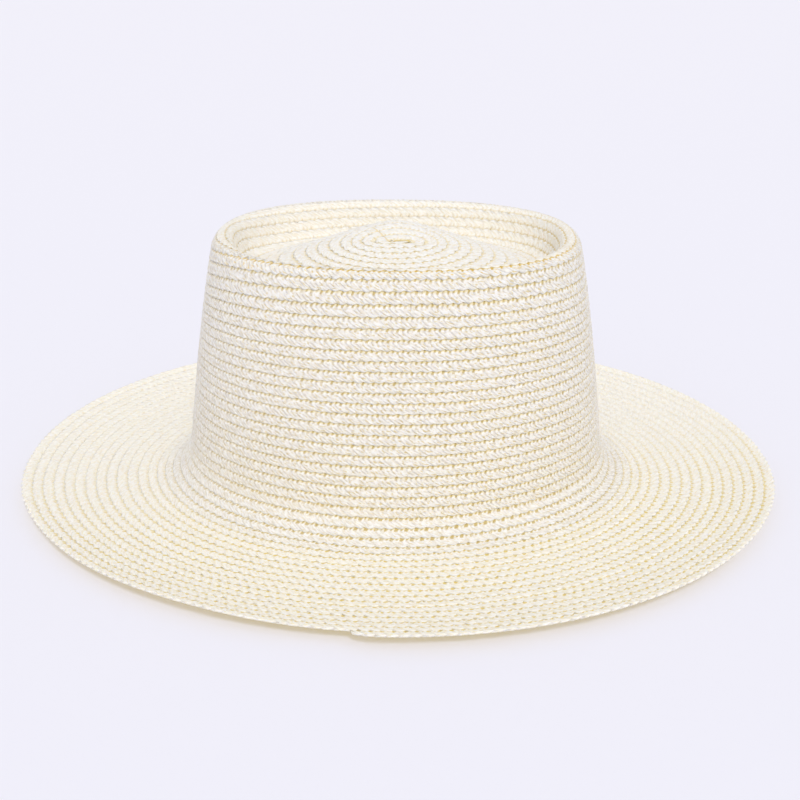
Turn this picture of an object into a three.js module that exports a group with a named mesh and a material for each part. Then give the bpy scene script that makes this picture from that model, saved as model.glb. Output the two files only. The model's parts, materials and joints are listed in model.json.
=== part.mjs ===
// A wide-brim straw hat: one plaited straw braid sewn edge to edge in an oval spiral, from the middle of
// the tip, over the rolled rim, down the side of the crown and out to the edge of the brim.
// Units are millimetres. +Z is up, +X runs along the head from back to front, and the hat stands on Z = 0.
import * as THREE from 'three';

// Driving dimensions
const wallThickness = 2.0;
const courseWidth = 4.67;
const seamGap = 0.3;
const pointsAround = 64;

// Braid courses are turns of the spiral, counted outwards from the rim of the crown. The spiral runs
// clockwise seen from above, and each whole course number is passed at the middle of the -Y side.
const rimCourse = -0.3;
const junctionCourse = 23;
const edgeCourse = 42;
const cutEnd = { turnsPastFront: 0.0164, length: 2.0 };

// The rolled rim round the top of the crown, whose crest is an oval of these half sizes
const rim = { halfLength: 81.1, halfWidth: 64.1, height: 120.9, radius: 5.2, squareness: 2.35 };
const rimTurns = [-70, -50, -30, -10, 10, 30, 50, 70, 80]; // degrees from the crest, outwards

// The oval sections of the outer face, where squareness 2 is an ellipse and more is fuller at the corners
const tipSections = [
  { course: -17.3, halfLength: 0.0, halfWidth: 0.0, height: 120.0, squareness: 2.0 }, // middle of the tip
  { course: -15.2, halfLength: 12.5, halfWidth: 9.2, height: 119.3, squareness: 2.0 },
  { course: -12.2, halfLength: 29.5, halfWidth: 23.6, height: 116.6, squareness: 2.0 },
  { course: -9.2, halfLength: 46.0, halfWidth: 36.6, height: 111.4, squareness: 2.0 },
  { course: -7.2, halfLength: 57.5, halfWidth: 44.8, height: 107.3, squareness: 2.05 },
  { course: -6.2, halfLength: 63.0, halfWidth: 48.6, height: 105.4, squareness: 2.1 },
  { course: -5.1, halfLength: 68.2, halfWidth: 52.4, height: 104.8, squareness: 2.15 }, // bottom of the moat
  { course: -4.2, halfLength: 71.8, halfWidth: 55.2, height: 106.7, squareness: 2.25 },
  { course: -3.3, halfLength: 73.9, halfWidth: 57.0, height: 110.2, squareness: 2.3 },
  { course: -2.4, halfLength: 75.2, halfWidth: 58.2, height: 114.2, squareness: 2.35 },
];
const crownSections = [
  { course: 4, halfLength: 89.0, halfWidth: 72.0, height: 102.1, squareness: 2.33 },
  { course: 12, halfLength: 95.0, halfWidth: 78.0, height: 64.9, squareness: 2.18 },
  { course: 22, halfLength: 101.2, halfWidth: 84.7, height: 18.4, squareness: 2.0 },
];
const brimSections = [
  { course: 23, halfLength: 101.9, halfWidth: 85.4, height: 13.8, squareness: 2.0 }, // foot of the crown
  { course: 24.5, halfLength: 105.2, halfWidth: 88.8, height: 8.0, squareness: 2.0 },
  { course: 26, halfLength: 110.4, halfWidth: 94.0, height: 4.2, squareness: 2.0 },
  { course: 29, halfLength: 122.4, halfWidth: 106.9, height: 2.0, squareness: 2.0 }, // the brim lies flat
  { course: 33, halfLength: 142.4, halfWidth: 126.8, height: 2.0, squareness: 2.0 },
  { course: 38, halfLength: 166.5, halfWidth: 151.2, height: 4.1, squareness: 2.0 },
  { course: 42, halfLength: 185.0, halfWidth: 170.9, height: 7.9, squareness: 2.0 }, // turned-up edge
];

// The tip stands a little proud behind its middle, where the braid begins
const tipMound = { y: 16, height: 4, spread: 13 };

// The turned-up edge isn't quite even: here it rises more, and there it reaches out more. Angles and spreads
// are degrees about +Z, and the waves grow from the flat ring out to the edge.
const waveStartCourse = 33;
const edgeWaves = [
  { angle: -120, spread: 11, rise: 1.9, reach: 0 },
  { angle: -164, spread: 7, rise: 0, reach: 1.3 },
  { angle: -13, spread: 9, rise: 0, reach: 0.6 },
  { angle: 90, spread: 32, rise: 1.0, reach: 0 },
];

const straw = {
  tip: new THREE.MeshStandardMaterial({ name: 'tip_straw', color: 0xefe9de, roughness: 0.82, metalness: 0 }),
  crown: new THREE.MeshStandardMaterial({ name: 'crown_straw', color: 0xede8de, roughness: 0.82, metalness: 0 }),
  brim: new THREE.MeshStandardMaterial({ name: 'brim_straw', color: 0xf2ece0, roughness: 0.82, metalness: 0 }),
};

// A smooth curve through the table's values that never overshoots them
function monotoneCurve(xs, ys) {
  const last = xs.length - 1;
  const chord = xs.slice(0, last).map((x, i) => (ys[i + 1] - ys[i]) / (xs[i + 1] - x));
  const slope = xs.map((_, i) => {
    if (i === 0) return chord[0];
    if (i === last) return chord[last - 1];
    const [before, after] = [chord[i - 1], chord[i]];
    return before * after <= 0 ? 0 : (2 * before * after) / (before + after);
  });
  return (x) => {
    let i = 0;
    while (i < last - 1 && x > xs[i + 1]) i += 1;
    const width = xs[i + 1] - xs[i];
    const t = (x - xs[i]) / width;
    const rise = ys[i + 1] - ys[i];
    const bend = (slope[i] * width - rise) * (1 - t) - (slope[i + 1] * width - rise) * t;
    return ys[i] + rise * t + t * (1 - t) * bend;
  };
}

// How far the edge's waves lift a point and push it out
function waveAt(waves, course, angle) {
  const share = Math.max(0, (course - waveStartCourse) / (edgeCourse - waveStartCourse)) ** 2;
  const wave = { rise: 0, reach: 0 };
  waves.forEach(({ angle: middle, spread, rise, reach }) => {
    const apart = angle - THREE.MathUtils.degToRad(middle);
    const strength = share * Math.exp((Math.cos(apart) - 1) / THREE.MathUtils.degToRad(spread) ** 2);
    wave.rise += strength * rise;
    wave.reach += strength * reach;
  });
  return wave;
}

// The outer face of the whole hat: a point for each course number and angle
function faceOf(sections, mound, waves) {
  const courses = sections.map((section) => section.course);
  const column = (name) => monotoneCurve(courses, sections.map((section) => section[name]));
  const halfLength = column('halfLength');
  const halfWidth = column('halfWidth');
  const height = column('height');
  const squareness = column('squareness');
  return (course, angle) => {
    const [c, s] = [Math.cos(angle), Math.sin(angle)];
    const power = squareness(course);
    const stretch = (Math.abs(c) ** power + Math.abs(s) ** power) ** (-1 / power);
    const wave = waveAt(waves, course, angle);
    const x = halfLength(course) * c * stretch + wave.reach * c;
    const y = halfWidth(course) * s * stretch + wave.reach * s;
    const rise = mound.height * Math.exp(-(x * x + (y - mound.y) ** 2) / (2 * mound.spread ** 2));
    return new THREE.Vector3(x, y, height(course) + rise + wave.rise);
  };
}

// The same face moved in by a wall's thickness, square to itself
function insetFace(face, thickness) {
  const step = 0.02;
  return (course, angle) => {
    const across = face(course + step, angle).sub(face(course - step, angle));
    const along = face(course, angle + step).sub(face(course, angle - step));
    const outward = across.cross(along).normalize();
    return face(course, angle).addScaledVector(outward, -thickness);
  };
}

function rimSections() {
  return rimTurns.map((degrees) => {
    const turn = THREE.MathUtils.degToRad(degrees);
    const out = rim.radius * Math.sin(turn);
    return {
      course: rimCourse + (rim.radius * turn) / courseWidth,
      halfLength: rim.halfLength + out,
      halfWidth: rim.halfWidth + out,
      height: rim.height - rim.radius * (1 - Math.cos(turn)),
      squareness: rim.squareness,
    };
  });
}

const sections = [...tipSections, ...rimSections(), ...crownSections, ...brimSections];
const outer = faceOf(sections, tipMound, edgeWaves);
const inner = insetFace(outer, wallThickness);

// The points of a wall cut through at each angle: out along the outer face and back along the inner one
function wallColumns(points, angles, coursesAt) {
  return angles.map((angle) => {
    const courses = coursesAt(angle);
    const front = courses.map((course) => points.push(outer(course, angle)) - 1);
    const back = courses.map((course) => points.push(inner(course, angle)) - 1);
    return front.concat(back.reverse());
  });
}

function bufferGeometry(points, triangles) {
  const geometry = new THREE.BufferGeometry();
  geometry.setAttribute('position', new THREE.Float32BufferAttribute(points.flatMap((p) => p.toArray()), 3));
  geometry.setIndex(triangles);
  geometry.computeVertexNormals();
  return geometry;
}

// Two triangles for each pair of neighbouring points of neighbouring columns
function stitchColumns(columns, pairCount) {
  const triangles = [];
  columns.forEach((column, i) => {
    const next = columns[(i + 1) % columns.length];
    for (let j = 0; j < pairCount; j += 1) {
      const k = (j + 1) % column.length;
      triangles.push(column[j], column[k], next[k], column[j], next[k], next[j]);
    }
  });
  return triangles;
}

// A closed wall, open through its middle like a sleeve or a flat ring
function ringWall(angles, coursesAt) {
  const points = [];
  const columns = wallColumns(points, angles, coursesAt);
  return bufferGeometry(points, stitchColumns(columns, columns[0].length));
}

// A closed wall whose inner end is closed over the axis
function cappedWall(angles, courses, poleCourse) {
  const points = [];
  const columns = wallColumns(points, angles, () => courses);
  const triangles = stitchColumns(columns, columns[0].length - 1);
  const pole = outer(poleCourse, 0);
  const top = points.push(pole) - 1;
  const under = points.push(pole.clone().setZ(pole.z - wallThickness)) - 1;
  columns.forEach((column, i) => {
    const next = columns[(i + 1) % columns.length];
    triangles.push(top, column[0], next[0]);
    triangles.push(under, next.at(-1), column.at(-1));
  });
  return bufferGeometry(points, triangles);
}

// Turns of the spiral from the cut end at the -Y side, clockwise seen from above, at an angle about +Z
function turnsFromEnd(angle) {
  const turns = -0.25 - angle / (2 * Math.PI) - cutEnd.turnsPastFront;
  return turns - Math.floor(turns);
}

function evenAngles(count) {
  return Array.from({ length: count }, (_, i) => (2 * Math.PI * i) / count);
}

const seamShare = seamGap / courseWidth / 2;
const angles = evenAngles(pointsAround);

function makeTip() {
  const courses = [-15.6, -13.6, -11.6, -9.6, -7.8, -6.3, -5.2, -4.2, -3.2, -2.2, -1.5, -0.9, rimCourse - seamShare];
  const geometry = cappedWall(angles, courses, sections[0].course);
  return new THREE.Mesh(geometry, straw.tip);
}

function makeSideCrown() {
  const courses = [rimCourse + seamShare, 0.35, 1, 5, 9, 13, 18, junctionCourse - seamShare];
  const geometry = ringWall(angles, () => courses);
  return new THREE.Mesh(geometry, straw.crown);
}

// The outermost course ends with a straight cut, so the brim's edge steps in by one course there
function makeBrim() {
  const courses = [junctionCourse + seamShare, 23.8, 24.8, 26, 27.4, 29, 33, 35.5, 38, 40];
  const endAngle = -Math.PI / 2 - 2 * Math.PI * cutEnd.turnsPastFront;
  const cutAngle = cutEnd.length / sections.at(-1).halfWidth;
  const stepAngles = [endAngle - cutAngle / 2, endAngle + cutAngle / 2].map((a) => a + 2 * Math.PI);
  const apart = (angle) => Math.min(...stepAngles.map((step) => Math.abs(angle - step)));
  const clear = angles.filter((angle) => apart(angle) > Math.PI / pointsAround / 2);
  const brimAngles = clear.concat(stepAngles).sort((a, b) => a - b);
  const coursesAt = (angle) => courses.concat(edgeCourse - 1 + cutEnd.turnsPastFront + turnsFromEnd(angle));
  const geometry = ringWall(brimAngles, coursesAt);
  return new THREE.Mesh(geometry, straw.brim);
}

const group = new THREE.Group();
const parts = { crown_tip: makeTip(), side_crown: makeSideCrown(), brim: makeBrim() };
Object.entries(parts).forEach(([name, mesh]) => {
  mesh.name = name;
  group.add(mesh);
});

// The origin is under the middle of the hat's outline
const box = new THREE.Box3().setFromObject(group);
const middle = box.getCenter(new THREE.Vector3());
group.position.set(-middle.x, -middle.y, -box.min.z);

export default group;
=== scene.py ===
"""The looks of a wide-brim straw hat: one plaited braid sewn in an oval spiral from the tip to the edge.

Sizes in the tables are millimetres and everything that is built is metres. Turns of the spiral are counted
from the rim of the crown, and each whole turn is passed at the middle of the -Y side.
"""

import json
import logging
import math
from collections.abc import Callable, Iterator
from dataclasses import dataclass, field, replace
from enum import Enum

import bpy
import numpy as np
from mathutils import Euler, Matrix, Vector

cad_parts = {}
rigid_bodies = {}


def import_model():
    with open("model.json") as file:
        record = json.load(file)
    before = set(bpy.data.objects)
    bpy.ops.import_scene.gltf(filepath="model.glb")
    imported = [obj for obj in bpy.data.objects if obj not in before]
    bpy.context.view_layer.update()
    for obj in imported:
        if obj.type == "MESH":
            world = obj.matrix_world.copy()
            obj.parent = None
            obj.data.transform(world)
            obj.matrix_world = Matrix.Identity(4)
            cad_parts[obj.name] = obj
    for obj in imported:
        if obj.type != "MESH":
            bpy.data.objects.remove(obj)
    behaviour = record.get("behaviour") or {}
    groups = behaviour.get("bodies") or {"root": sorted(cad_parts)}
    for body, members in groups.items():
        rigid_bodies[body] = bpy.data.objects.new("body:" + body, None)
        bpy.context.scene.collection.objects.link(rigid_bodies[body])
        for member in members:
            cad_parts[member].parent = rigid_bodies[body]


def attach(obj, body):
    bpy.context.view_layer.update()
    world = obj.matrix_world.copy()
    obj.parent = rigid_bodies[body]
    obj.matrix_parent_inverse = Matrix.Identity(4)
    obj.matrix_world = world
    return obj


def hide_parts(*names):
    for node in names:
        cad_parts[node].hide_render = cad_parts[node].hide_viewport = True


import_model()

log = logging.getLogger("straw_hat")
MM = 0.001
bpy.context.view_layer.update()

RIM_TURN = 0.0
FOOT_TURN = 23.0

Number = float | np.ndarray
Socket = bpy.types.NodeSocket
Feed = float | int | tuple | bpy.types.ID | Socket


@dataclass(frozen=True)
class Ramp:
    """A value that changes evenly between the courses of a short table."""

    courses: tuple[float, ...]
    values: tuple[float, ...]

    def at(self, course: Number) -> Number:
        """Reads the value at each course."""
        return np.interp(course, self.courses, self.values)


@dataclass(frozen=True)
class Section:
    """One oval section of the hat's outer face, in millimetres."""

    course: float
    half_length: float
    half_width: float
    height: float
    squareness: float = 2.0


@dataclass(frozen=True)
class EdgeWave:
    """A place where the brim's turned-up edge rises or reaches out more, in degrees and millimetres."""

    angle: float
    spread: float
    rise: float
    reach: float

    def strength(self, angle: Number) -> Number:
        """Says how much of the wave is felt at each angle about the axis, from 0 to 1."""
        apart = angle - math.radians(self.angle)
        return np.exp((np.cos(apart) - 1) / math.radians(self.spread) ** 2)


def monotone_curve(xs: np.ndarray, ys: np.ndarray) -> Callable[[Number], Number]:
    """Makes a smooth curve through a table's values that never overshoots them.

    Args:
        xs: the places, rising.
        ys: the value at each place.

    Returns:
        A function of the place.
    """
    widths, rises = np.diff(xs), np.diff(ys)
    chords = rises / widths
    before, after = chords[:-1], chords[1:]
    total = np.where(before + after == 0, 1, before + after)
    inner = np.where(before * after <= 0, 0, 2 * before * after / total)
    slopes = np.concatenate([chords[:1], inner, chords[-1:]])

    def curve(x: Number) -> Number:
        """Reads the curve.

        Args:
            x: the places.

        Returns:
            The value at each place.
        """
        i = np.clip(np.searchsorted(xs, x) - 1, 0, len(widths) - 1)
        t = (x - xs[i]) / widths[i]
        bend = (slopes[i] * widths[i] - rises[i]) * (1 - t) - (slopes[i + 1] * widths[i] - rises[i]) * t
        return ys[i] + rises[i] * t + t * (1 - t) * bend

    return curve


@dataclass
class HatShape:
    """The outer face of the whole hat, as ovals that a few driving sizes give.

    The tip's shift moves its first turns along Y, in millimetres. Its flatness makes them narrower across the
    hat and, times the stretch, longer along it.
    """

    course_width: float = 4.67
    tip: tuple[Section, ...] = (
        Section(-17.3, 0.0, 0.0, 120.0),
        Section(-15.2, 12.5, 9.2, 119.3),
        Section(-12.2, 29.5, 23.6, 116.6),
        Section(-9.2, 46.0, 36.6, 111.4),
        Section(-7.2, 57.5, 44.8, 107.3, 2.05),
        Section(-6.2, 63.0, 48.6, 105.4, 2.1),
        Section(-5.1, 68.2, 52.4, 104.8, 2.15),
        Section(-4.2, 71.8, 55.2, 106.7, 2.25),
        Section(-3.3, 73.9, 57.0, 110.2, 2.3),
        Section(-2.4, 75.2, 58.2, 114.2, 2.35),
    )
    rim: Section = Section(-0.3, 81.1, 64.1, 120.9, 2.35)
    rim_radius: float = 5.2
    rim_turns: tuple[float, ...] = (-70, -50, -30, -10, 10, 30, 50, 70, 80)
    crown: tuple[Section, ...] = (
        Section(4, 89.0, 72.0, 102.1, 2.33),
        Section(12, 95.0, 78.0, 64.9, 2.18),
        Section(22, 101.2, 84.7, 18.4),
    )
    brim: tuple[Section, ...] = (
        Section(23, 101.9, 85.4, 13.8),
        Section(24.5, 105.2, 88.8, 8.0),
        Section(26, 110.4, 94.0, 4.2),
        Section(29, 122.4, 106.9, 2.0),
        Section(33, 142.4, 126.8, 2.0),
        Section(38, 166.5, 151.2, 4.1),
        Section(42, 185.0, 170.9, 7.9),
    )
    edge_waves: tuple[EdgeWave, ...] = (
        EdgeWave(-120, 11, 1.9, 0),
        EdgeWave(-164, 7, 0, 1.3),
        EdgeWave(-13, 9, 0, 0.6),
        EdgeWave(90, 32, 1.0, 0),
    )
    wave_courses: tuple[float, float] = (33, 42)
    tip_shift: Ramp = Ramp((-17.3, -14.0, -7.5, -5.5), (-12.0, -8.6, -0.8, 0.0))
    tip_flatness: Ramp = Ramp((-16.6, -15.2, -13.5), (0.6, 0.2, 0.0))
    tip_stretch: float = 0.7
    halvings: int = 24
    mound_y: float = 16.0
    mound_height: float = 4.0
    mound_spread: float = 13.0
    axis: tuple[float, float] = (-1.198, 1.181)
    first_course: float = field(init=False)
    columns: dict[str, Callable[[Number], Number]] = field(init=False)

    def __post_init__(self) -> None:
        """Works out a curve along the courses for each column of the table."""
        sections = (*self.tip, *self.rolled_rim(), *self.crown, *self.brim)
        courses = np.array([section.course for section in sections])
        self.first_course = courses[0]
        self.columns = {
            name: monotone_curve(courses, np.array([getattr(section, name) for section in sections]))
            for name in ("half_length", "half_width", "height", "squareness")
        }

    def rolled_rim(self) -> Iterator[Section]:
        """Yields the sections of the rim, an arc from the moat's wall over the crest to the side."""
        for degrees in self.rim_turns:
            turn = math.radians(degrees)
            out = self.rim_radius * math.sin(turn)
            yield Section(
                self.rim.course + self.rim_radius * turn / self.course_width,
                self.rim.half_length + out,
                self.rim.half_width + out,
                self.rim.height - self.rim_radius * (1 - math.cos(turn)),
                self.rim.squareness,
            )

    def point(self, course: np.ndarray, angle: np.ndarray) -> np.ndarray:
        """Finds points of the outer face.

        Args:
            course: the course numbers.
            angle: the angles about the hat's axis, in radians.

        Returns:
            The points in metres, one in each row.
        """
        course = np.maximum(course, self.first_course)
        c, s = np.cos(angle), np.sin(angle)
        power = self.columns["squareness"](course)
        stretch = (np.abs(c) ** power + np.abs(s) ** power) ** (-1 / power)
        first, last = self.wave_courses
        grown = np.maximum(0, (course - first) / (last - first)) ** 2
        reach = grown * sum(wave.reach * wave.strength(angle) for wave in self.edge_waves)
        shift, flat = self.tip_shift.at(course), self.tip_flatness.at(course)
        x = self.columns["half_length"](course) * c * stretch * (1 + self.tip_stretch * flat) + reach * c
        y = self.columns["half_width"](course) * s * stretch * (1 - flat) + reach * s + shift
        off_mound = x**2 + (y - self.mound_y) ** 2
        rise = self.mound_height * np.exp(-off_mound / (2 * self.mound_spread**2))
        rise = rise + grown * sum(wave.rise * wave.strength(angle) for wave in self.edge_waves)
        level = np.where(shift < 0, self.level_at(x, y), course)
        z = self.columns["height"](level) + rise
        return np.stack([x + self.axis[0], y + self.axis[1], z], axis=-1) * MM

    def level_at(self, x: np.ndarray, y: np.ndarray) -> np.ndarray:
        """Finds which unshifted section of the tip passes through each place, by halving the range.

        Args:
            x: the places along the hat, in millimetres from its axis.
            y: the places across it.

        Returns:
            The course number of the section at each place.
        """
        smallest = 0.001
        low, high = np.full_like(x, self.first_course), np.full_like(x, self.tip[-1].course)
        for _ in range(self.halvings):
            middle = (low + high) / 2
            power = self.columns["squareness"](middle)
            across = np.abs(x) / np.maximum(self.columns["half_length"](middle), smallest)
            along = np.abs(y) / np.maximum(self.columns["half_width"](middle), smallest)
            outside = across**power + along**power > 1
            low, high = np.where(outside, middle, low), np.where(outside, high, middle)
        return (low + high) / 2

    def normal(self, course: np.ndarray, angle: np.ndarray) -> np.ndarray:
        """Finds the outward normals of the outer face.

        Args:
            course: the course numbers.
            angle: the angles about the hat's axis, in radians.

        Returns:
            The unit normals, one in each row.
        """
        step = 0.02
        course = np.maximum(course, self.first_course + 2 * step)
        across = self.point(course + step, angle) - self.point(course - step, angle)
        along = self.point(course, angle + step) - self.point(course, angle - step)
        outward = np.cross(across, along)
        return outward / np.linalg.norm(outward, axis=-1, keepdims=True)


@dataclass(frozen=True)
class RowSlide:
    """A side of the crown where the rows sit lower or higher than elsewhere, in degrees and courses."""

    angle: float
    spread: float
    drops: Ramp

    def drop(self, course: np.ndarray, angle: np.ndarray) -> np.ndarray:
        """Says how many courses lower each row sits at each angle about the axis."""
        apart = angle - math.radians(self.angle)
        return self.drops.at(course) * np.exp((np.cos(apart) - 1) / math.radians(self.spread) ** 2)


@dataclass
class Spiral:
    """The braid's path over the hat, with one station for each repeat of the plait.

    The relief is the share of each course's depth that is kept, and the side gain how much more of it the
    sides of the hat keep. The cut says over how many turns, and by how many courses, the braid's end narrows.
    """

    shape: HatShape
    first_turn: float = -16.6
    last_turn: float = 42.0145
    repeat_length: float = 4.51
    margin: int = 3
    relief: Ramp = Ramp((-5.0, -1.5, 1.5, 4.0, 21.0, 26.0), (0.50, 0.35, 0.38, 0.70, 0.70, 0.40))
    slides: tuple[RowSlide, ...] = (
        RowSlide(180, 21, Ramp((-9.0, -4.0, 0.0, 3.0, 14.0), (0.0, 1.25, 1.25, 1.4, 0.0))),
        RowSlide(234, 14, Ramp((-4.0, -2.0, 0.0, 1.0), (0.0, -0.35, -0.35, 0.0))),
        RowSlide(0, 28, Ramp((-9.0, -4.0, 3.0, 14.0), (0.0, 0.35, 0.40, 0.0))),
    )
    side_gain: float = 0.3
    cut_turns: float = 0.006
    cut_courses: float = 0.45
    stations: np.ndarray = field(init=False)

    def __post_init__(self) -> None:
        """Spaces the stations evenly along the middle of the braid."""
        samples_per_turn = 400
        spare_turns = 0.4
        span = self.last_turn - self.first_turn + 2 * spare_turns
        turns = np.linspace(-spare_turns, span - spare_turns, int(span * samples_per_turn)) + self.first_turn
        angle = self.angle(turns)
        middle = self.shape.point(self.settled(turns - 0.5, angle), angle)
        lengths = np.concatenate([[0], np.cumsum(np.linalg.norm(np.diff(middle, axis=0), axis=1))])
        start, end = np.interp([self.first_turn, self.last_turn], turns, lengths)
        count = round((end - start) / (self.repeat_length * MM))
        spacing = (end - start) / count
        wanted = start + spacing * np.arange(-self.margin, count + self.margin + 1)
        self.stations = np.interp(wanted, lengths, turns)

    def settled(self, course: np.ndarray, angle: np.ndarray) -> np.ndarray:
        """Gives the section of the hat that each course has settled to at each angle."""
        return course + sum(slide.drop(course, angle) for slide in self.slides)

    @staticmethod
    def angle(turns: np.ndarray) -> np.ndarray:
        """Gives the angle about the axis at each turn: clockwise from above, from the -Y side."""
        return -math.pi / 2 - 2 * math.pi * turns

    def repeats_before(self, turn: float) -> int:
        """Counts the repeats of the plait that come before a turn."""
        return int(np.searchsorted(self.stations, turn)) - self.margin

    def repeats_at(self, *turns: float) -> tuple[float, ...]:
        """Counts the repeats before each turn, as the braid's UV map counts them."""
        return tuple(float(self.repeats_before(turn)) for turn in turns)

    def path(self, name: str, first: int, last: int) -> bpy.types.Object:
        """Makes a stretch of the path as a chain of points that hold what the braid needs.

        Args:
            name: the name of the object.
            first: the first repeat of the stretch.
            last: the repeat that the stretch stops before.

        Returns:
            An object with a margin of stations before its first repeat and after its last one.
        """
        turns = self.stations[first : last + 2 * self.margin + 1]
        angle = self.angle(turns)
        cut = self.cut_courses * np.clip(1 + (turns - self.last_turn) / self.cut_turns, 0, 1)
        courses = [self.settled(turns - back, angle) for back in (1.0, 0.5 + cut / 2, cut)]
        inner, middle, outer = (self.shape.point(course, angle) for course in courses)
        tilt_in, lift, tilt_out = (self.shape.normal(course, angle) for course in courses)
        relief = self.relief.at(turns) * (1 + self.side_gain * np.cos(angle) ** 4)
        mesh = bpy.data.meshes.new(name)
        mesh.from_pydata(middle.tolist(), [(i, i + 1) for i in range(len(middle) - 1)], [])
        held = {
            "reach": (outer - inner) / 2,
            "bow": middle - (inner + outer) / 2,
            "lift": lift,
            "lean": (tilt_out - tilt_in) / 2,
            "relief": np.outer(relief - 1, (1, 0, 0)),
        }
        for key, vectors in held.items():
            layer = mesh.attributes.new(key, "FLOAT_VECTOR", "POINT")
            layer.data.foreach_set("vector", vectors.astype(np.float32).ravel())
        return new_object(name, mesh)


def new_object(name: str, mesh: bpy.types.Mesh) -> bpy.types.Object:
    """Makes an object of a mesh and puts it in the scene.

    Args:
        name: the name of the object.
        mesh: its mesh.

    Returns:
        The new object.
    """
    obj = bpy.data.objects.new(name, mesh)
    bpy.context.scene.collection.objects.link(obj)
    return obj


@dataclass(frozen=True)
class PlaitRow:
    """One row of points along the braid, in millimetres from the course before it and above the hat's face.

    The slant says how far the strands have moved along the braid, the ridge how far they stand up, the twist
    how much every second one sinks, and the scallop how far it reaches out.
    """

    across: float
    height: float
    slant: float = 0.0
    ridge: float = 0.0
    twist: float = 0.0
    scallop: float = 0.0


class CellEnd(Enum):
    """Whether a repeat of the plait is closed where the braid is cut."""

    MIDDLE = "plait_1_middle"
    START = "plait_2_start"
    END = "plait_3_end"


@dataclass
class Plait:
    """One repeat of the flat plait: a loop of rows round the braid, repeated in sheared columns."""

    course_width: float
    repeat_length: float
    columns: int = 4
    back_girth: float = 2.15
    top: tuple[PlaitRow, ...] = (
        PlaitRow(-1.2, -0.85),
        PlaitRow(0.0, -0.62, 0.0, 0.04, 0.04),
        PlaitRow(0.4, -0.42, 0.1, 0.16, 0.12),
        PlaitRow(0.95, -0.14, 0.4, 0.20, 0.12),
        PlaitRow(1.5, 0.00, 0.35, 0.10, 0.03),
        PlaitRow(2.1, 0.08, -0.35, 0.16, 0.03),
        PlaitRow(2.75, 0.10, -1.1, 0.16, 0.04),
        PlaitRow(3.3, 0.02, -1.8, 0.05, 0.12, 0.05),
        PlaitRow(3.9, 0.12, -2.7, 0.0, 0.20, 0.16),
        PlaitRow(4.45, 0.02, -3.7, 0.0, 0.26, 0.42),
        PlaitRow(4.62, -0.38, -4.2, 0.0, 0.20, 0.46),
    )
    back: tuple[PlaitRow, ...] = (
        PlaitRow(4.2, -0.90, -3.6, -0.05),
        PlaitRow(2.6, -1.30, -2.2, -0.12),
        PlaitRow(0.8, -1.62, -0.9, -0.12),
        PlaitRow(-0.9, -1.86, -0.2, -0.08),
    )

    def rows(self) -> Iterator[tuple[PlaitRow, float]]:
        """Yields each row with its place round the braid: up to 1 on the top and past it on the back."""
        for row in self.top:
            yield row, row.across / self.course_width
        for row in self.back:
            yield row, self.back_girth - row.across / self.course_width

    def cell(self, end: CellEnd) -> bpy.types.Object:
        """Builds one repeat.

        Args:
            end: whether the repeat is closed at its start or its end.

        Returns:
            An object whose points hold their place in the braid ("lay") and in its pattern ("weave").
        """
        rows = list(self.rows())
        lay, weave = [], []
        for column in range(self.columns + 1):
            phase = column / self.columns
            strand = math.cos(4 * math.pi * phase)
            fold = math.sin(2 * math.pi * phase)
            for row, girth in rows:
                across = row.across + row.scallop * fold
                height = row.height + row.ridge * strand - row.twist * fold
                along = phase + row.slant / self.repeat_length
                lay.append((along, 2 * across / self.course_width - 1, height * MM))
                weave.append((phase, girth, row.height * MM if girth <= 1 else 0.0))
        count = len(rows)
        faces = [
            (column * count + i, column * count + k, (column + 1) * count + k, (column + 1) * count + i)
            for column in range(self.columns)
            for i, k in ((i, (i + 1) % count) for i in range(count))
        ]
        if end is CellEnd.START:
            faces.append(tuple(range(count))[::-1])
        if end is CellEnd.END:
            faces.append(tuple(range(self.columns * count, (self.columns + 1) * count)))
        mesh = bpy.data.meshes.new(end.value)
        mesh.from_pydata(lay, [], faces)
        for key, vectors in {"lay": lay, "weave": weave}.items():
            layer = mesh.attributes.new(key, "FLOAT_VECTOR", "POINT")
            layer.data.foreach_set("vector", np.array(vectors, np.float32).ravel())
        return bpy.data.objects.new(end.value, mesh)

    def cells(self) -> bpy.types.Collection:
        """Makes the collection of repeats.

        Returns:
            A collection that holds one repeat of each kind, in the order of CellEnd.
        """
        collection = bpy.data.collections.new("plait_repeats")
        for end in CellEnd:
            collection.objects.link(self.cell(end))
        return collection


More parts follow.
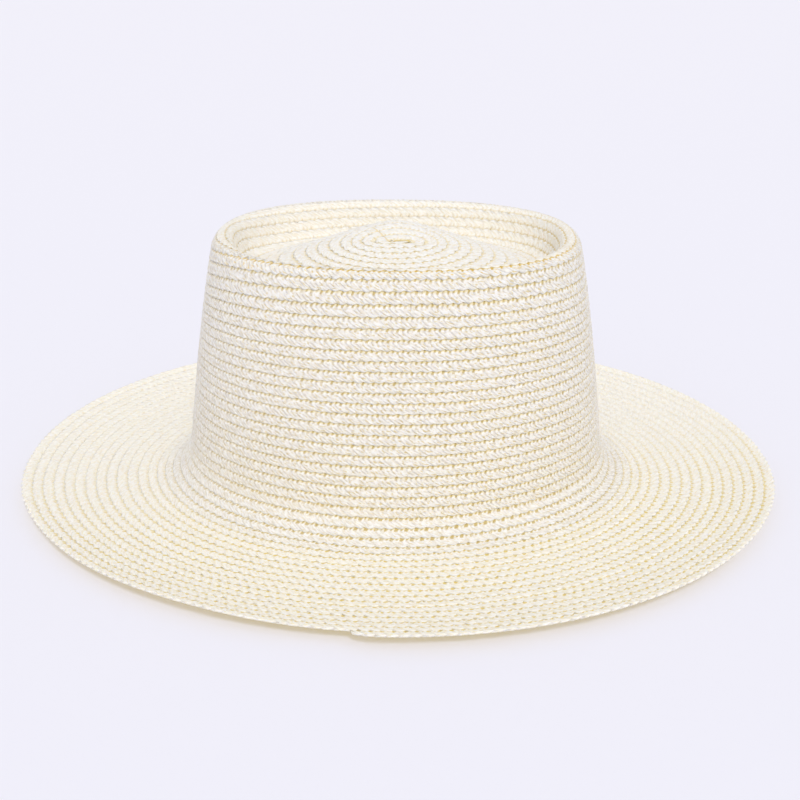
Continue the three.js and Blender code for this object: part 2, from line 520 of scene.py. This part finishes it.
class Wiring:
    """Adds nodes to a node tree and joins their sockets."""

    def __init__(self, tree: bpy.types.NodeTree) -> None:
        """Keeps the tree that the nodes go into."""
        self.tree = tree

    def node(
        self, kind: str, inputs: dict[str | int, Feed] | None = None, **settings: object
    ) -> bpy.types.Node:
        """Adds a node.

        Args:
            kind: the node's type name.
            inputs: what each input gets, a value or another node's output.
            settings: the node's own properties.

        Returns:
            The new node.
        """
        node = self.tree.nodes.new(kind)
        for name, value in settings.items():
            setattr(node, name, value)
        for key, value in (inputs or {}).items():
            self.feed(node.inputs[key], value)
        return node

    def feed(self, socket: Socket, value: Feed) -> None:
        """Gives a socket a link or a value of its own.

        Args:
            socket: the input socket.
            value: another node's output, or a value.
        """
        if isinstance(value, Socket):
            self.tree.links.new(value, socket)
        else:
            socket.default_value = value

    def math(self, operation: str, *values: Feed) -> Socket:
        """Adds a Math node and returns its output."""
        return self.node("ShaderNodeMath", dict(enumerate(values)), operation=operation).outputs[0]

    def vector(self, operation: str, *values: Feed) -> Socket:
        """Adds a Vector Math node and returns its vector output."""
        return self.node("ShaderNodeVectorMath", dict(enumerate(values)), operation=operation).outputs[0]

    def dot(self, first: Feed, second: Feed) -> Socket:
        """Gives how far one vector reaches along the other."""
        feeds = {0: first, 1: second}
        return self.node("ShaderNodeVectorMath", feeds, operation="DOT_PRODUCT").outputs["Value"]

    def scaled(self, vector: Feed, factor: Feed) -> Socket:
        """Multiplies a vector by a number."""
        return self.node("ShaderNodeVectorMath", {0: vector, "Scale": factor}, operation="SCALE").outputs[0]

    def split(self, vector: Feed) -> tuple[Socket, ...]:
        """Splits a vector into its three numbers."""
        return tuple(self.node("ShaderNodeSeparateXYZ", {0: vector}).outputs)

    def joined(self, x: Feed, y: Feed, z: Feed = 0.0) -> Socket:
        """Makes a vector of three numbers."""
        return self.node("ShaderNodeCombineXYZ", {0: x, 1: y, 2: z}).outputs[0]

    def noise(self, place: Feed, scale: float, detail: float = 0.0) -> bpy.types.Node:
        """Adds a Noise Texture node, for its Fac and Color outputs."""
        return self.node("ShaderNodeTexNoise", {"Vector": place, "Scale": scale, "Detail": detail})

    def ease(self, value: Feed, start: float, end: float, low: float = 0.0, high: float = 1.0) -> Socket:
        """Maps a value from one range to another, with a smooth start and end.

        Args:
            value: the value.
            start: where the first range starts.
            end: where it ends, which may be below its start.
            low: what the start maps to.
            high: what the end maps to.

        Returns:
            The mapped value.
        """
        node = self.node("ShaderNodeMapRange", {0: value, 1: start, 2: end, 3: low, 4: high})
        node.interpolation_type = "SMOOTHSTEP"
        return node.outputs[0]

    def blend(self, factor: Feed, first: Feed, second: Feed) -> Socket:
        """Mixes two colours.

        Args:
            factor: the share of the second colour.
            first: the first colour.
            second: the second colour.

        Returns:
            The mixed colour.
        """
        node = self.node("ShaderNodeMix", data_type="RGBA")
        for socket, value in zip((node.inputs[0], node.inputs[6], node.inputs[7]), (factor, first, second)):
            self.feed(socket, value)
        return node.outputs[2]


@dataclass
class BraidTree:
    """The Geometry Nodes tree that lays a repeat of the plait at each station of a path.

    The grains are in steps of noise to a repeat: how quickly the strands differ, and how slowly the braid
    sways. Points nearer to each other than the weld, in millimetres, become one.
    """

    margin: int
    strand_grain: float = 1.9
    sway_grain: float = 0.07
    sway_detail: float = 2.0
    weld: float = 0.02
    tree: bpy.types.NodeTree = field(init=False)
    ids: dict[str, str] = field(init=False)

    def __post_init__(self) -> None:
        """Builds the tree with its named inputs."""
        self.tree = bpy.data.node_groups.new("sewn_braid", "GeometryNodeTree")
        face = self.tree.interface
        kinds = {
            "Path": "NodeSocketGeometry",
            "Repeats": "NodeSocketCollection",
            "First Repeat": "NodeSocketInt",
            "Start Cap": "NodeSocketInt",
            "End Cap": "NodeSocketInt",
            "Sway": "NodeSocketFloat",
            "Unevenness": "NodeSocketFloat",
            "Seed": "NodeSocketFloat",
            "Straw": "NodeSocketMaterial",
        }
        self.ids = {
            name: face.new_socket(name, in_out="INPUT", socket_type=kind).identifier
            for name, kind in kinds.items()
        }
        face.new_socket("Braid", in_out="OUTPUT", socket_type="NodeSocketGeometry")
        self.build()

    def build(self) -> None:
        """Adds the nodes."""
        w = Wiring(self.tree)
        source = w.node("NodeGroupInput").outputs
        realized, stations = self.repeats(w, source)
        lay, weave = (self.named(w, key) for key in ("lay", "weave"))
        repeat = self.named(w, "repeat", "INT")
        phase, girth, depth = w.split(weave)
        total = w.math("ADD", w.math("ADD", repeat, phase), source["First Repeat"])
        place = w.joined(total, girth, source["Seed"])
        middle_grey = (0.5, 0.5, 0.5)
        strand_noise = w.noise(place, self.strand_grain).outputs["Color"]
        along_only = w.joined(total, source["Seed"])
        sway_noise = w.noise(along_only, self.sway_grain, self.sway_detail).outputs["Color"]
        strand = w.vector("SUBTRACT", strand_noise, middle_grey)
        sway = w.vector("SUBTRACT", sway_noise, middle_grey)
        strand_along, strand_across, strand_up = w.split(w.scaled(strand, source["Unevenness"]))
        _, sway_across, sway_up = w.split(w.scaled(sway, source["Sway"]))
        lay_x, lay_y, lay_z = w.split(lay)
        station = w.math("ADD", w.math("ADD", repeat, lay_x), strand_along)
        across = w.math("ADD", w.math("ADD", lay_y, strand_across), sway_across)
        held = self.sampled(w, source["Path"], station, stations)
        flattened = w.math("ADD", lay_z, w.math("MULTIPLY", depth, w.split(held["relief"])[0]))
        up = w.math("ADD", flattened, w.math("MULTIPLY", w.math("ADD", strand_up, sway_up), MM))
        bowed = w.scaled(held["bow"], w.math("MULTIPLY", across, across))
        seat = w.vector("SUBTRACT", w.vector("ADD", held["middle"], w.scaled(held["reach"], across)), bowed)
        normal = w.vector("NORMALIZE", w.vector("ADD", held["lift"], w.scaled(held["lean"], across)))
        place = w.vector("ADD", seat, w.scaled(normal, up))
        moved = w.node("GeometryNodeSetPosition", {"Geometry": realized, "Position": place}).outputs[0]
        with_uv = w.node(
            "GeometryNodeStoreNamedAttribute",
            {"Geometry": moved, "Name": "UVMap", "Value": w.joined(total, girth)},
            data_type="FLOAT2",
            domain="CORNER",
        ).outputs[0]
        weld = {"Geometry": with_uv, "Distance": self.weld * MM}
        welded = w.node("GeometryNodeMergeByDistance", weld).outputs[0]
        smooth = w.node("GeometryNodeSetShadeSmooth", {"Geometry": welded}).outputs[0]
        dress = {"Geometry": smooth, "Material": source["Straw"]}
        w.node("NodeGroupOutput", {0: w.node("GeometryNodeSetMaterial", dress).outputs[0]})

    def named(self, w: Wiring, name: str, kind: str = "FLOAT_VECTOR") -> Socket:
        """Reads a named attribute."""
        return w.node("GeometryNodeInputNamedAttribute", {"Name": name}, data_type=kind).outputs[0]

    def repeats(self, w: Wiring, source: bpy.types.NodeOutputs) -> tuple[Socket, Socket]:
        """Puts a repeat on each station inside the margins, and closes the first and last where asked.

        Args:
            w: the tree's wiring.
            source: the tree's inputs.

        Returns:
            The realized repeats, and the number of stations.
        """
        half = 0.5
        stations = w.node("GeometryNodeAttributeDomainSize", {0: source["Path"]}, component="MESH").outputs[0]
        index = w.node("GeometryNodeInputIndex").outputs[0]
        last = w.math("SUBTRACT", stations, self.margin + 2)
        past_start = w.math("GREATER_THAN", index, self.margin - half)
        before_end = w.math("LESS_THAN", index, w.math("ADD", last, half))
        inside = w.math("MULTIPLY", past_start, before_end)
        is_first = w.math("MULTIPLY", w.math("COMPARE", index, self.margin, half), source["Start Cap"])
        is_last = w.math("MULTIPLY", w.math("COMPARE", index, last, half), source["End Cap"])
        pick = w.math("ADD", is_first, w.math("MULTIPLY", is_last, 2))
        numbered = w.node(
            "GeometryNodeStoreNamedAttribute",
            {"Geometry": source["Path"], "Name": "repeat", "Value": index},
            data_type="INT",
            domain="POINT",
        ).outputs[0]
        kinds = w.node(
            "GeometryNodeCollectionInfo",
            {"Collection": source["Repeats"], "Separate Children": True, "Reset Children": True},
        ).outputs[0]
        placed = w.node(
            "GeometryNodeInstanceOnPoints",
            {
                "Points": numbered,
                "Selection": inside,
                "Instance": kinds,
                "Pick Instance": True,
                "Instance Index": pick,
            },
        ).outputs[0]
        return w.node("GeometryNodeRealizeInstances", {0: placed}).outputs[0], stations

    def sampled(self, w: Wiring, path: Socket, station: Socket, stations: Socket) -> dict[str, Socket]:
        """Reads what the path holds at a place between two stations.

        Args:
            w: the tree's wiring.
            path: the path's geometry.
            station: the place, in stations.
            stations: the number of stations.

        Returns:
            The middle of the braid and each vector that the path holds, there.
        """
        below = w.math("FLOOR", station)
        above = w.math("MINIMUM", w.math("ADD", below, 1), w.math("SUBTRACT", stations, 1))
        part = w.math("SUBTRACT", station, below)
        fields = {key: self.named(w, key) for key in ("reach", "bow", "lift", "lean", "relief")}
        fields["middle"] = w.node("GeometryNodeInputPosition").outputs[0]
        held = {}
        for key, value in fields.items():
            near, far = (
                w.node(
                    "GeometryNodeSampleIndex",
                    {"Geometry": path, "Value": value, "Index": at},
                    data_type="FLOAT_VECTOR",
                ).outputs[0]
                for at in (below, above)
            )
            held[key] = w.vector("ADD", near, w.scaled(w.vector("SUBTRACT", far, near), part))
        return held

    def apply(self, path: bpy.types.Object, inputs: dict[str, Feed]) -> bpy.types.Object:
        """Runs the tree on a path and keeps the result as the path object's own plain mesh.

        Args:
            path: the path, which becomes the braid.
            inputs: the values of the named inputs.

        Returns:
            The same object.
        """
        modifier = path.modifiers.new("sewn_braid", "NODES")
        modifier.node_group = self.tree
        for name, value in inputs.items():
            modifier[self.ids[name]] = value
        graph = bpy.context.evaluated_depsgraph_get()
        laid = path.evaluated_get(graph)
        mesh = bpy.data.meshes.new_from_object(laid, preserve_all_data_layers=True, depsgraph=graph)
        path.modifiers.remove(modifier)
        old = path.data
        path.data = mesh
        mesh.name = path.name
        bpy.data.meshes.remove(old)
        for key in ("lay", "weave", "repeat", "reach", "bow", "lift", "lean", "relief"):
            if key in mesh.attributes:
                mesh.attributes.remove(mesh.attributes[key])
        return path


@dataclass(frozen=True)
class FoldShadeLine:
    """Painted golden shade in a fold of the braid's first turn, a straight line seen from above, in
    millimetres.

    The depth says how strong the painted shade is. The sides fade out between two shares of the half width,
    and the ends over the blur.
    """

    start: tuple[float, float]
    end: tuple[float, float]
    half_width: float
    depth: float
    side_fade: tuple[float, float] = (1.5, 0.7)
    blur: float = 0.6

    def strength(self, w: Wiring) -> Socket:
        """Works out how strong the painted golden shade is near the line.

        Args:
            w: the material's wiring.

        Returns:
            A factor from 0 to the depth.
        """
        place = w.scaled(w.node("ShaderNodeTexCoord").outputs["Object"], 1 / MM)
        start, end = Vector((*self.start, 0)), Vector((*self.end, 0))
        along = (end - start).normalized()
        across = Vector((-along.y, along.x, 0))
        offset = w.vector("SUBTRACT", place, tuple(start))
        run, side = (w.dot(offset, tuple(way)) for way in (along, across))
        outer, inner = (share * self.half_width for share in self.side_fade)
        near = w.ease(w.math("ABSOLUTE", side), outer, inner)
        length = (end - start).length
        inside = w.math("MULTIPLY", w.ease(run, -self.blur, 0.0), w.ease(run, length + self.blur, length))
        return w.math("MULTIPLY", w.math("MULTIPLY", near, inside), self.depth)


@dataclass(frozen=True)
class StrawPattern:
    """Where the marks of the plait lie on the braid's UV map.

    A grain is in steps of noise to a repeat and to a course. A pair is the range over which a mark fades in,
    of a noise, of a wave of the plait or of the girth in courses. The side slope and rise bend the finish's
    fade round the hat's sides, in metres for each metre along X.
    """

    fibre_grain: tuple[float, float] = (14.0, 5.0)
    fibre_detail: float = 2.0
    fibre_share: float = 0.45
    patch_grain: tuple[float, float] = (3.1, 2.6)
    patch_detail: float = 1.0
    tones: tuple[float, float] = (0.38, 0.60)
    gap_wave: tuple[float, float] = (-0.3, -1.0)
    gap_patches: tuple[float, float] = (0.62, 0.42)
    gap_depth: float = 1.2
    bump_depth: float = 0.22
    chance_grain: tuple[float, float] = (2.0, 1.5)
    chance: tuple[float, float] = (0.3, 0.5)
    chance_least: float = 0.5
    under_line: tuple[float, float] = (0.17, 0.08)
    outer_line: tuple[float, float] = (0.955, 0.995)
    large_fade: float = 0.3
    large_girth: tuple[float, float] = (0.36, 0.20)
    small_wave: tuple[float, float] = (-0.65, -0.92)
    small_girth: tuple[float, float] = (0.24, 0.12)
    speck_grain: tuple[float, float] = (4.3, 4.3)
    speck_seed: float = 7.0
    speck_noise: tuple[float, float] = (0.60, 0.69)
    speck_inner: tuple[float, float] = (0.3, 0.4)
    speck_outer: tuple[float, float] = (0.95, 0.8)
    speck_share: float = 0.5
    side_slope: float = -0.2
    side_rise: float = 0.1


@dataclass(frozen=True)
class StrawFinish:
    """The finish of the plaited paper straw: matt cream strands with painted shade between them, grey in the
    strands' gaps and golden in the hollows, warmed as by light through the straw.

    The fade's places, in metres along +Y, are where the hollows' painted golden shade is weakest and
    strongest, and its third value is the least share. Where a finish has one before it, it takes over from
    that one along the braid, between the two repeats of the change.
    """

    name: str
    cream: tuple[float, float, float] = (0.81, 0.752, 0.645)
    pale: tuple[float, float, float] = (0.93, 0.912, 0.872)
    shadow: tuple[float, float, float] = (0.66, 0.63, 0.61)
    # Painted shade: the pale golden shade of the line under each course and the deep golden shade of the
    # plait's holes.
    pale_golden_shade: tuple[float, float, float] = (0.85, 0.74, 0.43)
    deep_golden_shade: tuple[float, float, float] = (0.62, 0.47, 0.17)
    # How much painted golden shade goes on the line under each course, under each course's outer edge, and in
    # the commas.
    line: float = 0.85
    edge_line: float = 0.8
    commas: float = 0.9
    comma_length: float = 0.55
    specks: float = 1.0
    gaps: float = 0.6
    fade: tuple[float, float, float] = (0.06, -0.09, 0.12)
    bump: float = 0.7
    fold_shades: tuple[FoldShadeLine, ...] = ()
    before: "StrawFinish | None" = None
    change: tuple[float, ...] = (0.0, 1.0)
    pattern: StrawPattern = StrawPattern()
    roughness: float = 0.75
    specular: float = 0.3
    glow: float = 0.30
    glow_depth: float = 1.0
    glow_colours: tuple[float, float, float] = (1.0, 0.9, 0.7)

    def material(self) -> bpy.types.Material:
        """Builds the material.

        Returns:
            A node material whose pattern follows the braid's own UV map.
        """
        material = bpy.data.materials.new(self.name)
        material.use_nodes = True
        shader = material.node_tree.nodes["Principled BSDF"]
        shader.inputs["Roughness"].default_value = self.roughness
        shader.inputs["Specular IOR Level"].default_value = self.specular
        shader.inputs["Subsurface Weight"].default_value = self.glow
        shader.inputs["Subsurface Radius"].default_value = self.glow_colours
        shader.inputs["Subsurface Scale"].default_value = self.glow_depth * MM
        self.weave(Wiring(material.node_tree), shader)
        return material

    def weave(self, w: Wiring, shader: bpy.types.Node) -> None:
        """Colours and embosses the straw.

        Args:
            w: the material's wiring.
            shader: the material's shader.
        """
        marks = self.pattern
        phase, girth, _ = w.split(w.node("ShaderNodeUVMap", uv_map="UVMap").outputs[0])
        turn = w.math("MULTIPLY", phase, 2 * math.pi)
        strands = w.math("COSINE", w.math("MULTIPLY", turn, 2))
        fibres = self.speckle(w, phase, girth, marks.fibre_grain, marks.fibre_detail)
        patches = self.speckle(w, phase, girth, marks.patch_grain, marks.patch_detail)
        fibre_part = w.math("MULTIPLY", fibres, marks.fibre_share)
        patch_part = w.math("MULTIPLY", patches, 1 - marks.fibre_share)
        tone = w.ease(w.math("ADD", fibre_part, patch_part), *marks.tones)
        changed = w.ease(phase, *self.change)
        straw = w.blend(tone, self.colour(w, "cream", changed), self.colour(w, "pale", changed))
        gap = w.math("MULTIPLY", w.ease(strands, *marks.gap_wave), w.ease(patches, *marks.gap_patches))
        shaded = w.blend(w.math("MULTIPLY", gap, self.gaps), straw, self.colour(w, "shadow", changed))
        # Painted shade: pale golden along the line under each course, deep golden in the plait's holes.
        line, holes = self.hollows(w, phase, girth, w.math("SINE", turn))
        lined = w.blend(line, shaded, self.colour(w, "pale_golden_shade", changed))
        w.feed(shader.inputs["Base Color"], w.blend(holes, lined, self.colour(w, "deep_golden_shade", changed)))
        height = w.math("ADD", fibres, w.math("MULTIPLY", gap, -marks.gap_depth))
        emboss = {"Height": height, "Strength": self.bump, "Distance": marks.bump_depth * MM}
        w.feed(shader.inputs["Normal"], w.node("ShaderNodeBump", emboss).outputs[0])

    @staticmethod
    def speckle(
        w: Wiring,
        phase: Socket,
        girth: Socket,
        grain: tuple[float, float],
        detail: float = 0.0,
        seed: float = 0.0,
    ) -> Socket:
        """Makes a noise over the braid.

        Args:
            w: the material's wiring.
            phase: the place along the braid, in repeats.
            girth: the place across it, in courses.
            grain: the steps of noise to a repeat and to a course.
            detail: how many finer noises are added.
            seed: which noise it is.

        Returns:
            The noise, from 0 to 1.
        """
        along, across = w.math("MULTIPLY", phase, grain[0]), w.math("MULTIPLY", girth, grain[1])
        return w.noise(w.joined(along, across, seed), 1.0, detail).outputs["Fac"]

    def colour(self, w: Wiring, name: str, changed: Socket) -> Feed:
        """Gives a colour of the finish, blended from the finish before it where there is one."""
        own = (*getattr(self, name), 1)
        return w.blend(changed, (*getattr(self.before, name), 1), own) if self.before else own

    def hollows(self, w: Wiring, phase: Socket, girth: Socket, fold: Socket) -> tuple[Socket, Socket]:
        """Works out where the painted golden shade goes: along the line under each course, and in the plait's
        holes.

        Args:
            w: the material's wiring.
            phase: the place along the braid, in repeats.
            girth: the place across it, in courses.
            fold: 1 in the gap behind each large strand and -1 in the one before it.

        Returns:
            Two factors from 0 to 1: the pale golden shade of the line and the deep golden shade of the holes.
        """
        marks = self.pattern
        chance = self.speckle(w, phase, girth, marks.chance_grain)
        uneven = w.ease(chance, *marks.chance, marks.chance_least, 1.0)
        under = w.math("MULTIPLY", w.ease(girth, *marks.under_line), self.line)
        edge = w.math("MULTIPLY", w.ease(girth, *marks.outer_line), self.edge_line)
        line = w.math("MULTIPLY", w.math("MAXIMUM", under, edge), uneven)
        large_wave = w.ease(fold, self.comma_length, self.comma_length + marks.large_fade)
        large = w.math("MULTIPLY", large_wave, w.ease(girth, *marks.large_girth))
        small = w.math("MULTIPLY", w.ease(fold, *marks.small_wave), w.ease(girth, *marks.small_girth))
        commas = w.math("MULTIPLY", w.math("MULTIPLY", w.math("MAXIMUM", large, small), uneven), self.commas)
        dots = self.speckle(w, phase, girth, marks.speck_grain, seed=marks.speck_seed)
        middle = w.math("MULTIPLY", w.ease(girth, *marks.speck_inner), w.ease(girth, *marks.speck_outer))
        dotted = w.math("MULTIPLY", w.ease(dots, *marks.speck_noise), middle)
        specks = w.math("MULTIPLY", w.math("MULTIPLY", dotted, self.specks), marks.speck_share)
        shown = self.shown(w)
        holes = w.math("MULTIPLY", w.math("MAXIMUM", commas, specks), shown)
        # Painted golden shade along the folds of the braid's start.
        for fold_shade in self.fold_shades:
            holes = w.math("MAXIMUM", holes, fold_shade.strength(w))
        return w.math("MULTIPLY", w.math("MAXIMUM", line, specks), shown), holes

    def shown(self, w: Wiring) -> Socket:
        """Works out how strong the hollows' painted shade is: most at the front, less at the -X side, least
        at the back.

        Args:
            w: the material's wiring.

        Returns:
            A factor from the fade's least share to 1.
        """
        marks = self.pattern
        x, y, _ = w.split(w.node("ShaderNodeTexCoord").outputs["Object"])
        back, front, least = self.fade
        slope = w.math("MULTIPLY", x, marks.side_slope)
        rise = w.math("MULTIPLY", w.math("ABSOLUTE", x), marks.side_rise)
        return w.ease(w.math("ADD", y, w.math("ADD", slope, rise)), back, front, least, 1.0)


# The crown's straw and golds are darker than the brim's: painted shade for the upright crown, with the dark
# inside of the hat behind its hollows.
CROWN_STRAW = StrawFinish("crown_straw")
# The crest's first seam: brighter, more saturated painted golden shade along its line.
CREST_STRAW = StrawFinish("crest_straw", pale_golden_shade=(0.86, 0.63, 0.14), deep_golden_shade=(0.76, 0.51, 0.09))
DOME_STRAW = StrawFinish(
    "dome_straw",
    cream=(0.895, 0.85, 0.765),
    pale=(0.955, 0.94, 0.905),
    shadow=(0.88, 0.80, 0.60),
    pale_golden_shade=(0.92, 0.82, 0.56),
    deep_golden_shade=(0.80, 0.62, 0.26),
)
TIP_STRAW = StrawFinish(
    "tip_straw",
    cream=(0.905, 0.842, 0.72),
    pale=(0.955, 0.93, 0.865),
    shadow=(0.88, 0.80, 0.60),
    pale_golden_shade=(0.80, 0.62, 0.24),
    deep_golden_shade=(0.70, 0.50, 0.16),
    edge_line=0.7,
    commas=0.6,
    specks=0.4,
    gaps=0.45,
    bump=0.5,
    fade=(0.07, -0.03, 0.25),
    # Painted golden shade in the slit at the tip and along the V of the braid's folded start.
    fold_shades=(
        FoldShadeLine((4.6, -9.7), (-4.9, -10.8), 0.55, 1.0),
        FoldShadeLine((-4.9, -10.8), (-12.2, 6.0), 0.35, 0.6),
    ),
)
# The brim's straw is lighter and its golds brighter than the crown's: painted light on the flat brim, with
# the bright floor behind its hollows.
BRIM_STRAW = StrawFinish(
    "brim_straw",
    cream=(0.955, 0.88, 0.725),
    pale=(0.99, 0.96, 0.89),
    shadow=(0.83, 0.78, 0.72),
    pale_golden_shade=(0.92, 0.80, 0.42),
    deep_golden_shade=(0.83, 0.65, 0.21),
    line=0.7,
    edge_line=0.0,
    comma_length=0.2,
    specks=0.5,
    gaps=0.28,
    bump=0.5,
)


@dataclass
class BraidPiece:
    """A stretch of the braid that stands for a part of the hat."""

    name: str
    node: str
    slot: str
    first_turn: float
    last_turn: float
    sway: float = 0.10
    unevenness: float = 0.14
    seed: float = 3.0

    def build(
        self, spiral: Spiral, tree: BraidTree, cells: bpy.types.Collection, straw: bpy.types.Material
    ) -> bpy.types.Object:
        """Lays the stretch, hangs it on the root body, hides the solid that it stands for, and logs it.

        Args:
            spiral: the whole braid's path.
            tree: the Geometry Nodes tree.
            cells: the repeats of the plait.
            straw: the finish.

        Returns:
            The finished piece.
        """
        first, last = (spiral.repeats_before(turn) for turn in (self.first_turn, self.last_turn))
        path = spiral.path(self.name, first, last)
        inputs = {
            "Repeats": cells,
            "First Repeat": first,
            "Start Cap": int(self.first_turn <= spiral.first_turn),
            "End Cap": int(self.last_turn >= spiral.last_turn),
            "Sway": self.sway,
            "Unevenness": self.unevenness,
            "Seed": self.seed,
            "Straw": straw,
        }
        piece = tree.apply(path, inputs)
        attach(piece, "root")
        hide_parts(self.node)
        triangles = sum(len(face.vertices) - 2 for face in piece.data.polygons)
        log.info("%s: repeats %d to %d, %d triangles", self.name, first, last, triangles)
        return piece


@dataclass
class SubAssembly:
    """A part of the hat: a solid of the frame and the stretches of braid that stand for it."""

    spiral: Spiral
    node: str = ""
    slot: str = ""
    names: tuple[str, ...] = ()

    def turns(self) -> tuple[float, ...]:
        """Gives the turns between which the stretches run."""
        raise NotImplementedError

    def finish(self) -> StrawFinish:
        """Gives the finish of the straw."""
        raise NotImplementedError

    def build(self, tree: BraidTree, cells: bpy.types.Collection) -> list[bpy.types.Object]:
        """Builds each stretch with its finish.

        Args:
            tree: the Geometry Nodes tree.
            cells: the repeats of the plait.

        Returns:
            The finished pieces, from the tip outwards.
        """
        straw, turns = self.finish().material(), self.turns()
        return [
            BraidPiece(name, self.node, self.slot, first, last).build(self.spiral, tree, cells, straw)
            for name, first, last in zip(self.names, turns, turns[1:])
        ]


@dataclass
class CrownTip(SubAssembly):
    """The low dome, the moat round it and the inner half of the rolled rim."""

    node: str = "crown_tip"
    slot: str = "tip_straw"
    names: tuple[str, ...] = ("tip_braid",)
    creamier: tuple[float, float] = (RIM_TURN - 6.0, RIM_TURN - 4.0)

    def turns(self) -> tuple[float, ...]:
        """Gives the turns between which the stretches run."""
        return self.spiral.first_turn, RIM_TURN

    def finish(self) -> StrawFinish:
        """Gives the dome's straw, which turns creamier towards the rim."""
        return replace(TIP_STRAW, before=DOME_STRAW, change=self.spiral.repeats_at(*self.creamier))


@dataclass
class SideCrown(SubAssembly):
    """The outer half of the rolled rim and the tapered side of the crown."""

    node: str = "side_crown"
    slot: str = "crown_straw"
    names: tuple[str, ...] = ("upper_crown_braid", "lower_crown_braid")
    middle_turn: float = 12.0
    duller: tuple[float, float] = (RIM_TURN + 1.2, RIM_TURN + 1.9)

    def turns(self) -> tuple[float, ...]:
        """Gives the turns between which the stretches run."""
        return RIM_TURN, self.middle_turn, FOOT_TURN

    def finish(self) -> StrawFinish:
        """Gives the crown's straw, whose first seam has brighter painted golden shade."""
        return replace(CROWN_STRAW, before=CREST_STRAW, change=self.spiral.repeats_at(*self.duller))


@dataclass
class Brim(SubAssembly):
    """The curve out from the crown's foot, the flat ring and the turned-up edge with its cut end."""

    node: str = "brim"
    slot: str = "brim_straw"
    names: tuple[str, ...] = ("inner_brim_braid", "middle_brim_braid", "outer_brim_braid")
    middle_turns: tuple[float, float] = (30.0, 36.3)
    # The turns over which the crown's darker straw, painted shade at the foot, gives way to the brim's.
    foot_shade_turns: tuple[float, float] = (FOOT_TURN + 2.5, FOOT_TURN + 6.5)

    def turns(self) -> tuple[float, ...]:
        """Gives the turns between which the stretches run."""
        return FOOT_TURN, *self.middle_turns, self.spiral.last_turn

    def finish(self) -> StrawFinish:
        """Gives the crown's darker straw, which gives way to the brim's own straw over the first turns:
        painted shade at the crown's foot.
        """
        return replace(BRIM_STRAW, before=CROWN_STRAW, change=self.spiral.repeats_at(*self.foot_shade_turns))


@dataclass
class Studio:
    """The plain pale floor, the soft light and the camera at the photograph's viewing angle."""

    camera_place: tuple[float, float, float] = (0.00070, -0.5908, 0.2738)
    camera_pitch: float = 0.3826
    camera_roll: float = 0.0057
    lens: float = 58.1
    sensor_width: float = 36.0
    floor_size: float = 14.0
    floor_roughness: float = 0.9
    floor_colour: tuple[float, float, float, float] = (0.565, 0.63, 0.845, 1)
    floor_glow: tuple[float, float, float, float] = (0.29, 0.22, 0.075, 1)
    sky_colour: tuple[float, float, float, float] = (0.97, 0.965, 1.0, 1)
    sky_strength: float = 0.79
    sun_way: tuple[float, float, float] = (0.13, -0.80, 0.78)
    sun_strength: float = 1.17
    sun_angle: float = 9.0

    def build(self) -> None:
        """Sets up the floor, the light and the camera."""
        self.add_floor()
        self.add_light()
        self.add_camera()
        bpy.context.scene.view_settings.view_transform = "Standard"

    def add_floor(self) -> None:
        """Lays the floor that the hat lies on."""
        half = self.floor_size / 2
        mesh = bpy.data.meshes.new("floor")
        corners = [(-half, -half, 0), (half, -half, 0), (half, half, 0), (-half, half, 0)]
        mesh.from_pydata(corners, [], [(0, 1, 2, 3)])
        floor = new_object("floor", mesh)
        material = bpy.data.materials.new("pale_floor")
        material.use_nodes = True
        shader = material.node_tree.nodes["Principled BSDF"]
        shader.inputs["Base Color"].default_value = self.floor_colour
        shader.inputs["Roughness"].default_value = self.floor_roughness
        shader.inputs["Emission Color"].default_value = self.floor_glow
        shader.inputs["Emission Strength"].default_value = 1.0
        mesh.materials.append(material)

    def add_light(self) -> None:
        """Adds an even sky and one soft light, in front, above and a little to the right."""
        world = bpy.data.worlds.new("soft_sky")
        bpy.context.scene.world = world
        world.use_nodes = True
        sky = world.node_tree.nodes["Background"]
        sky.inputs["Color"].default_value = self.sky_colour
        sky.inputs["Strength"].default_value = self.sky_strength
        lamp = bpy.data.lights.new("soft_sun", "SUN")
        lamp.energy = self.sun_strength
        lamp.angle = math.radians(self.sun_angle)
        light = bpy.data.objects.new("soft_sun", lamp)
        light.rotation_euler = Vector(self.sun_way).to_track_quat("Z", "Y").to_euler()
        bpy.context.scene.collection.objects.link(light)

    def add_camera(self) -> None:
        """Adds the camera."""
        data = bpy.data.cameras.new("camera")
        data.lens = self.lens
        data.sensor_width = self.sensor_width
        camera = bpy.data.objects.new("camera", data)
        aim = Euler((math.pi / 2 - self.camera_pitch, 0, 0)).to_matrix()
        rolled = aim @ Matrix.Rotation(self.camera_roll, 3, "Z")
        camera.matrix_world = Matrix.LocRotScale(self.camera_place, rolled, None)
        bpy.context.scene.collection.objects.link(camera)
        bpy.context.scene.camera = camera


def main() -> None:
    """Builds the hat and its studio in order."""
    logging.basicConfig(level=logging.INFO, format="%(name)s: %(message)s")
    shape = HatShape()
    spiral = Spiral(shape)
    cells = Plait(shape.course_width, spiral.repeat_length).cells()
    tree = BraidTree(spiral.margin)
    for sub_assembly in (CrownTip, SideCrown, Brim):
        sub_assembly(spiral).build(tree, cells)
    Studio().build()


if __name__ == "__main__":
    main()
